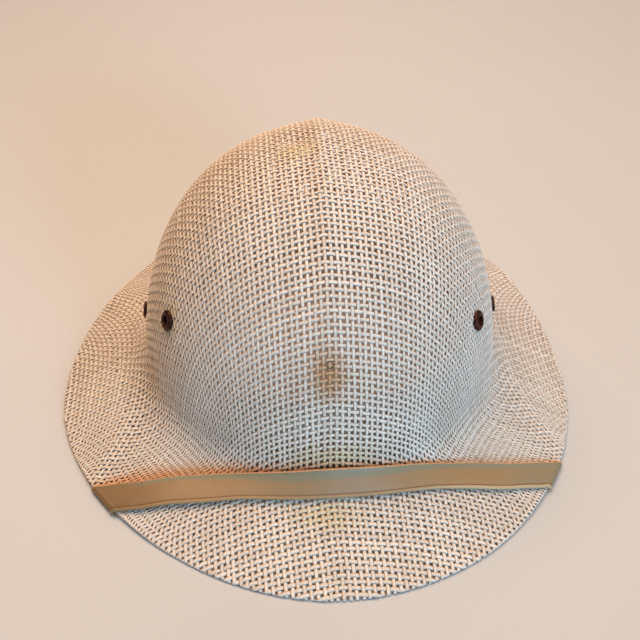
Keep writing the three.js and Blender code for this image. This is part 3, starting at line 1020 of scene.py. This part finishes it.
# %% The strap's whole course, from one sewn end to the other
left_fold = fold_edges(STRAP_ROUTE[0], STRAP_ROUTE[1])
right_fold = fold_edges(STRAP_ROUTE[-1], STRAP_ROUTE[-2])
left_under = under_edges(left_fold[0][-1], left_fold[1][-1], STRAP_ENDS["left"])
right_under = under_edges(right_fold[0][-1], right_fold[1][-1], STRAP_ENDS["right"])
lower_edge, upper_edge = (
    np.concatenate([
        left_under[side][::-1], left_fold[side][::-1], front_edge(name),
        right_fold[side], right_under[side],
    ])
    for side, name in enumerate(("lower", "upper"))
)
strap_middle = (lower_edge + upper_edge) / 2
strap_steps = np.linalg.norm(np.diff(strap_middle, axis=0), axis=1)
strap_length = np.append(0, np.cumsum(strap_steps))
thin_fold = 1 - (1 - THIN_SHARE) * smooth_between(FOLD_SHARES, *THIN_FROM)
thin_under = np.full(len(UNDER_SHARES), THIN_SHARE)
strap_body = np.concatenate([
    thin_under, thin_fold[::-1], np.ones(len(FRONT_SHARES)), thin_fold, thin_under,
])
front_start = strap_length[len(UNDER_SHARES) + len(FOLD_SHARES)]
front_length = strap_length[-len(UNDER_SHARES) - len(FOLD_SHARES)] - front_start
print("strap, whole and over the brim:", strap_length[-1].round(4), front_length.round(4))

# %% Its section: distance from the lower edge and rise from the middle, in millimetres
STRAP_SECTION = (
    (0.00, 0.00), (0.20, 0.55), (0.70, 0.88), (1.30, 0.92), (1.80, 0.72), (2.15, 0.36), (2.50, 0.46),
    (3.20, 0.62), (5.50, 0.70), (8.00, 0.74), (10.5, 0.72), (13.0, 0.64), (14.2, 0.60), (14.7, 0.74),
    (15.3, 0.86), (15.8, 0.72), (16.0, 0.30), (16.0, -0.35), (15.7, -0.75), (14.5, -0.70), (8.00, -0.65),
    (1.50, -0.65), (0.20, -0.45),
)
NICKS = (
    {"along": 0.0187, "half_width": 0.0013, "depth": 0.0012},
    {"along": 0.0288, "half_width": 0.0008, "depth": 0.0006},
    {"along": 0.2116, "half_width": 0.0010, "depth": 0.0007},
)
NICK_FROM = (0.86, 1.0)


def strap_grid():
    section = np.array(STRAP_SECTION) / 1000
    share = section[:, 0] / STRAP_WIDTH
    ahead = np.gradient(strap_middle, axis=0)
    width = upper_edge - lower_edge
    width_way = width / np.linalg.norm(width, axis=1)[:, None]
    face = np.cross(ahead, width)
    face /= np.linalg.norm(face, axis=1, keepdims=True)
    across = lower_edge[:, None] + width[:, None] * share[None, :, None]
    rise = strap_body[:, None] * section[None, :, 1]
    grid = across + face[:, None] * rise[..., None]
    along = strap_length - front_start
    near_edge = smooth_between(share, *NICK_FROM)
    for nick in NICKS:
        depth = nick["depth"] * np.clip(1 - np.abs(along - nick["along"]) / nick["half_width"], 0, 1)
        grid = grid - width_way[:, None] * (depth[:, None] * near_edge[None])[..., None]
    flat = np.stack(np.broadcast_arrays(along[:, None], section[None, :, 0]), axis=-1)
    return grid, flat


# %% [markdown]
# ### Vinyl
# New, the vinyl was an even tan. Now its upper third has a grey-green band with a wavering border,
# partly bloom and partly painted sheen. The upper rim shows the tan backing, painted orange as warm
# light on it, the crease is painted dark as shade, and the bead below it has faded to cream towards
# one end. Both ends are painted darker over the folds, as the shade where the strap turns round them.
# Cracks run down from the nicks. All of this follows the strap's own length and width, so the material
# reads the flat map. Each mark is a mask between 0 and 1, and the colours are mixed one over the other,
# as layers of paint would be.

# %% Colours and marks of the vinyl
VINYL_TAN = srgb(158, 125, 87)
VINYL_DARK = srgb(144, 112, 74)
# Painted shade: a darker olive over the left fold, fading out along the first centimetres of the strap.
VINYL_OLIVE_FOLD_SHADE = srgb(121, 93, 58)
# The grey-green of the upper third: partly bloom, partly painted sheen.
VINYL_BLOOM_AND_SHEEN = srgb(126, 121, 96)
# Painted shade: a greyer, darker tan over the right fold.
VINYL_END_FOLD_SHADE = srgb(136, 120, 91)
# The rim colour is the tan backing, painted orange as warm light falling on it.
VINYL_RIM_AND_WARM_LIGHT = srgb(200, 146, 100)
# The crease colour is painted shade in the groove.
VINYL_CREASE_SHADE = srgb(106, 68, 38)
VINYL_BEAD = srgb(184, 158, 118)
VINYL_CRACK = srgb(76, 62, 46)
CRACKS = (
    {"along": 0.0187, "length": 0.0048, "bend": 55.0},
    {"along": 0.2116, "length": 0.0026, "bend": -160.0},
)
CRACK_WIDTH = (0.00028, 0.00005)

# %% Where the marks begin and where they are full, in metres along and across the strap
LEFT_FOLD_SHADE_ALONG = (0.05, 0.005)
BLOOM_AND_SHEEN_ALONG = (0.0, 0.03)
BLOOM_AND_SHEEN_SOFT = (-0.0012, 0.0012)
BORDER_ACROSS = 0.0140
BORDER_DIP = 0.0036
BORDER_DIP_ALONG = (0.02, 0.10)
BORDER_RISE = 0.0018
BORDER_RISE_ALONG = (0.13, 0.18)
RIGHT_FOLD_SHADE_ALONG = (0.205, 0.228)
RIM_LIGHT_ALONG = (0.04, 0.08)
RIM_ACROSS = (0.0149, 0.0154)
BEAD_ALONG = (0.14, 0.20)
BEAD_ACROSS = (0.0020, 0.0015)
STRAP_CREASE_AT = 0.00225
STRAP_CREASE_SHADE_SOFT = (0.0006, 0.0001)


def band_place(start):
    chart = start.node("ShaderNodeUVMap", {"uv_map": "flat"})
    return [start.node("ShaderNodeSeparateXYZ", sockets={0: chart}, output=axis) for axis in "XY"]


def crack_mask(along, across, row):
    below = STRAP_WIDTH - across
    middle = row["along"] + row["bend"] * below * below
    line = fade(along.maths("ABSOLUTE", along - middle), *CRACK_WIDTH)
    return line * fade(below, row["length"], 0.6 * row["length"])


# %% The vinyl's material
def tan_vinyl():
    material, start, shader = start_material("tan_vinyl")
    place = object_place(start)
    along, across = band_place(start)
    cloud = noise(place, 60, 3)
    fine = noise(place, 900, 2)
    waver = 0.004 * (noise(place, 90, 3) - 0.5)
    colour = mix(cloud, VINYL_TAN, VINYL_DARK)
    # The left end and its fold are painted darker, as the shade where the strap turns.
    colour = mix(0.8 * fade(along, *LEFT_FOLD_SHADE_ALONG), colour, VINYL_OLIVE_FOLD_SHADE)
    border = BORDER_ACROSS - BORDER_DIP * fade(along, *BORDER_DIP_ALONG)
    border = border + BORDER_RISE * fade(along, *BORDER_RISE_ALONG)
    # The upper third: partly bloom, partly painted sheen, with a wavering border.
    bloom_and_sheen = fade(across + waver - border, *BLOOM_AND_SHEEN_SOFT)
    colour = mix(0.85 * bloom_and_sheen * fade(along, *BLOOM_AND_SHEEN_ALONG), colour, VINYL_BLOOM_AND_SHEEN)
    # The right end and its fold are painted darker, as the shade where the strap turns.
    colour = mix(0.8 * fade(along + waver, *RIGHT_FOLD_SHADE_ALONG), colour, VINYL_END_FOLD_SHADE)
    # The upper rim: tan backing with painted warm light, weaker near the left end.
    lit_rim = fade(across + 0.1 * waver, *RIM_ACROSS)
    colour = mix(lit_rim * (0.45 + 0.55 * fade(along, *RIM_LIGHT_ALONG)), colour, VINYL_RIM_AND_WARM_LIGHT)
    bead = fade(across + 0.1 * waver, *BEAD_ACROSS)
    colour = mix(bead * (0.15 + 0.75 * fade(along, *BEAD_ALONG)), colour, VINYL_BEAD)
    # The crease is painted dark, as shade in its groove.
    crease_shade = fade(start.maths("ABSOLUTE", across - STRAP_CREASE_AT), *STRAP_CREASE_SHADE_SOFT)
    colour = mix(0.75 * crease_shade, colour, VINYL_CREASE_SHADE)
    for row in CRACKS:
        colour = mix(0.85 * crack_mask(along, across, row), colour, VINYL_CRACK)
    set_shader(start, shader, {
        "Base Color": colour, "Roughness": 0.38 + 0.2 * cloud + 0.15 * fine,
        "Normal": bump(fine + 2.0 * cloud, 0.00012, 0.6),
    })
    return material


vinyl_material = tan_vinyl()
strap = band("strap_band", *strap_grid(), False, vinyl_material)
settle(strap, "vinyl", "strap")

# %% [markdown]
# ## The headband
# Inside, a band of pale tape stands on the foot of the wall and leans inwards. It shows through the
# mesh as a lighter belt. Its section is a thin strip, carried round the crown's foot and drawn in by
# an inset that grows with height.

# %% Make the headband
HEADBAND_GAP = 0.00075
HEADBAND_INSET = WALL + HEADBAND_GAP
HEADBAND_THICKNESS = 0.0016
HEADBAND_LEAN = 0.009
HEADBAND_LEAN_CURVE = 1.3
HEADBAND_BOTTOM = -0.001
HEADBAND_BEND = 0.016
HEADBAND_TOP = 0.042
HEADBAND_STEPS = 12
HEADBAND_ROWS = 160
TAPE_PALE = srgb(206, 207, 196)
TAPE_DARK = srgb(188, 190, 178)
TAPE_RIB = 0.0011


def headband_grid():
    height = np.linspace(HEADBAND_BOTTOM, HEADBAND_TOP, HEADBAND_STEPS)
    above_bend = np.clip((height - HEADBAND_BEND) / (HEADBAND_TOP - HEADBAND_BEND), 0, 1)
    outer = HEADBAND_INSET + HEADBAND_LEAN * above_bend**HEADBAND_LEAN_CURVE
    heights = np.concatenate([height, height[::-1]])
    insets = np.concatenate([outer, (outer + HEADBAND_THICKNESS)[::-1]])
    turns = np.linspace(0, 2 * math.pi, HEADBAND_ROWS, endpoint=False)
    rings = [[with_height(foot_plan(turn, inset), FOOT_Z + level) for level, inset in zip(heights, insets)]
             for turn in turns]
    flat = np.stack(np.broadcast_arrays(turns[:, None] * CROWN_FRONT, heights[None]), axis=-1)
    return np.array(rings), flat


def pale_tape():
    material, start, shader = start_material("pale_tape")
    place = object_place(start)
    across = band_place(start)[1]
    ribs = start.maths("SINE", across * (2 * math.pi / TAPE_RIB))
    cloud = noise(place, 45, 3)
    set_shader(start, shader, {
        "Base Color": mix(cloud, TAPE_PALE, TAPE_DARK), "Roughness": 0.7 + 0.2 * cloud,
        "Normal": bump(ribs + 2.0 * noise(place, 800), 0.0001),
    })
    return material


headband = band("headband_tape", *headband_grid(), True, pale_tape())
settle(headband, "band", "headband")

# %% [markdown]
# ## The eyelets
# The four eyelets are copper rings with a rolled lip, now dark with tarnish. One ring is a profile
# spun round an axis. Geometry Nodes then set a copy on each of the four places, turned to face out of
# the cloth and scaled to its size, so that a change to the profile changes them all.

# %% The ring
EYELET_PROFILE = (
    (2.70, 0.70), (2.76, 1.08), (3.10, 1.40), (3.60, 1.50), (4.40, 1.34), (5.10, 0.98), (5.46, 0.50),
    (5.50, -0.20), (5.30, -0.44), (3.70, -0.44), (3.60, -2.60), (4.55, -2.80), (4.50, -3.30), (3.20, -3.50),
    (2.76, -3.20),
)
EYELET_SIDES = 40
COPPER_DARK = srgb(44, 22, 18)
COPPER_WORN = srgb(92, 50, 38)


def eyelet_ring():
    radius, rise = np.array(EYELET_PROFILE).T / 1000
    turns = np.linspace(0, 2 * math.pi, EYELET_SIDES, endpoint=False)[:, None]
    around = np.broadcast_arrays(radius * np.cos(turns), radius * np.sin(turns), rise)
    flat = np.broadcast_arrays(turns * EYELET_BARREL, radius)
    return np.stack(around, axis=-1), np.stack(flat, axis=-1)


def tarnished_copper():
    material, start, shader = start_material("tarnished_copper")
    place = object_place(start)
    cloud = noise(place, 420, 4)
    set_shader(start, shader, {
        "Base Color": mix(fade(cloud, 0.35, 0.7), COPPER_DARK, COPPER_WORN), "Metallic": 0.85,
        "Roughness": 0.34 + 0.3 * cloud, "Normal": bump(cloud, 0.0002, 0.5),
    })
    return material


copper_material = tarnished_copper()


# %% Set a ring on each place
def eyelet_tree():
    sockets = {"Ring": "NodeSocketObject", "Material": "NodeSocketMaterial"}
    tree, given = start_tree("eyelets", sockets)
    points = given["Geometry"]
    shape = points.node("GeometryNodeObjectInfo", sockets={"Object": given["Ring"]}, output="Geometry")
    facing = {"Vector": named(points, "outward", "FLOAT_VECTOR")}
    turn = points.node("FunctionNodeAlignRotationToVector", {"axis": "Z"}, facing)
    copies = {"Points": points, "Instance": shape, "Rotation": turn, "Scale": named(points, "size")}
    end_tree(points.node("GeometryNodeInstanceOnPoints", sockets=copies), given["Material"])
    return tree


ring = band("eyelet_ring", *eyelet_ring(), True, copper_material)
face_places = [wall_place(row["angle"], row["height"]) for row in EYELETS]
face_points = np.array([map_point(p, q) for p, q in face_places])
face_outward = np.array([outward for _, outward in eyelet_places])
sizes = np.array([row["scale"] for row in EYELETS])
no_lines = np.zeros(len(EYELETS) - 1, bool)
eyelets = line_object("eyelets", face_points, no_lines, {"outward": face_outward, "size": sizes})
grow(eyelets, eyelet_tree(), {"Ring": ring, "Material": copper_material})
bpy.data.objects.remove(ring)
settle(eyelets, "eyelet", *(row["node"] for row in EYELETS))

# %% [markdown]
# ## Stage, light and camera
# The hat stands on a plain pale floor. A warm lamp and a wide warm ceiling above it, a cool window in
# front and a fill behind light it, as soft areas. Their powers and colours were first worked out: each
# lamp was rendered alone in white, and then came the mixture that gave each part of the hat its right
# tone. The last trims were made one by one. The window stands low, so its beam is narrowed to light less
# of the floor near it. A very weak lamp under the crown keeps the openings of the weave from going black.
# The Standard view transform shows these tones as they are. The camera looks down at the front.

# %% Floor
FLOOR_HALF = 3.0
FLOOR_PALE = srgb(196, 195, 194)
FLOOR_DARK = srgb(188, 187, 186)


def floor_material():
    material, start, shader = start_material("floor_paint")
    place = object_place(start)
    set_shader(start, shader, {
        "Base Color": mix(noise(place, 3, 3), FLOOR_DARK, FLOOR_PALE),
        "Roughness": 0.6 + 0.1 * noise(place, 12),
    })
    return material


floor_mesh = bpy.data.meshes.new("floor")
corners = [(-1, -1), (1, -1), (1, 1), (-1, 1)]
floor_mesh.from_pydata([(x * FLOOR_HALF, y * FLOOR_HALF, 0) for x, y in corners], [], [(0, 1, 2, 3)])
floor_mesh.materials.append(floor_material())
floor = placed("floor", floor_mesh)
print("floor, metres wide:", 2 * FLOOR_HALF)

# %% Lamps
LAMPS = (
    {"name": "lamp", "at": (-0.5, 0.35, 1.1), "size": 0.5, "power": 6.6, "colour": (1.0, 0.66, 0.38)},
    {"name": "ceiling", "at": (0.15, -0.1, 1.5), "size": 1.8, "power": 28.5, "colour": (1.0, 0.80, 0.65)},
    {"name": "window", "at": (1.2, -2.4, 0.66), "size": 1.0, "power": 12, "colour": (0.34, 0.67, 1.0),
     "spread": 75},
    {"name": "back_fill", "at": (0.2, 1.4, 0.7), "size": 1.2, "power": 6, "colour": (1.0, 0.74, 0.58)},
)
UNDER_CROWN = {
    "name": "under_crown", "at": (0, 0, 0.10), "size": 0.08, "power": 0.034, "colour": (1.0, 0.50, 0.35),
}
WIDEST_SPREAD = 180
AIM = Vector((0, -0.02, 0.06))
BACK_WALL = Vector((0, 0.12, 0.07))


def add_lamp(row, aim):
    data = bpy.data.lights.new(row["name"], "AREA")
    data.size = row["size"]
    data.energy = row["power"]
    data.color = row["colour"]
    data.spread = math.radians(row.get("spread", WIDEST_SPREAD))
    lamp = placed(row["name"], data)
    lamp.location = row["at"]
    lamp.rotation_euler = (aim - lamp.location).to_track_quat("-Z", "Y").to_euler()
    return lamp


for row in LAMPS:
    add_lamp(row, AIM)
add_lamp(UNDER_CROWN, BACK_WALL).visible_camera = False
print("lamps:", [row["name"] for row in LAMPS], "and", UNDER_CROWN["name"])

# %% The light of the room
ROOM_COLOUR = (1.0, 0.94, 0.88, 1.0)
ROOM_STRENGTH = 0.04
world = bpy.data.worlds.new("studio")
world.use_nodes = True
background = world.node_tree.nodes["Background"]
background.inputs["Color"].default_value = ROOM_COLOUR
background.inputs["Strength"].default_value = ROOM_STRENGTH
bpy.context.scene.world = world
bpy.context.scene.view_settings.view_transform = "Standard"

# %% Camera
CAMERA_AT = Vector((-0.0195, -0.5719, 0.4565))
CAMERA_AIM = Vector((-0.0001, -0.0177, 0.0496))
CAMERA_FOCAL_PIXELS = 1233.7
IMAGE_PIXELS = 640
SENSOR_MILLIMETRES = 36
CAMERA_ROLL = math.radians(0.24)
camera_data = bpy.data.cameras.new("camera")
camera_data.sensor_width = SENSOR_MILLIMETRES
camera_data.lens = CAMERA_FOCAL_PIXELS / IMAGE_PIXELS * SENSOR_MILLIMETRES
camera = placed("camera", camera_data)
camera.location = CAMERA_AT
look = (CAMERA_AIM - CAMERA_AT).to_track_quat("-Z", "Y").to_matrix()
camera.rotation_euler = (look @ Matrix.Rotation(CAMERA_ROLL, 3, "Z")).to_euler()
bpy.context.scene.camera = camera
print("lens in millimetres:", round(camera_data.lens, 2))
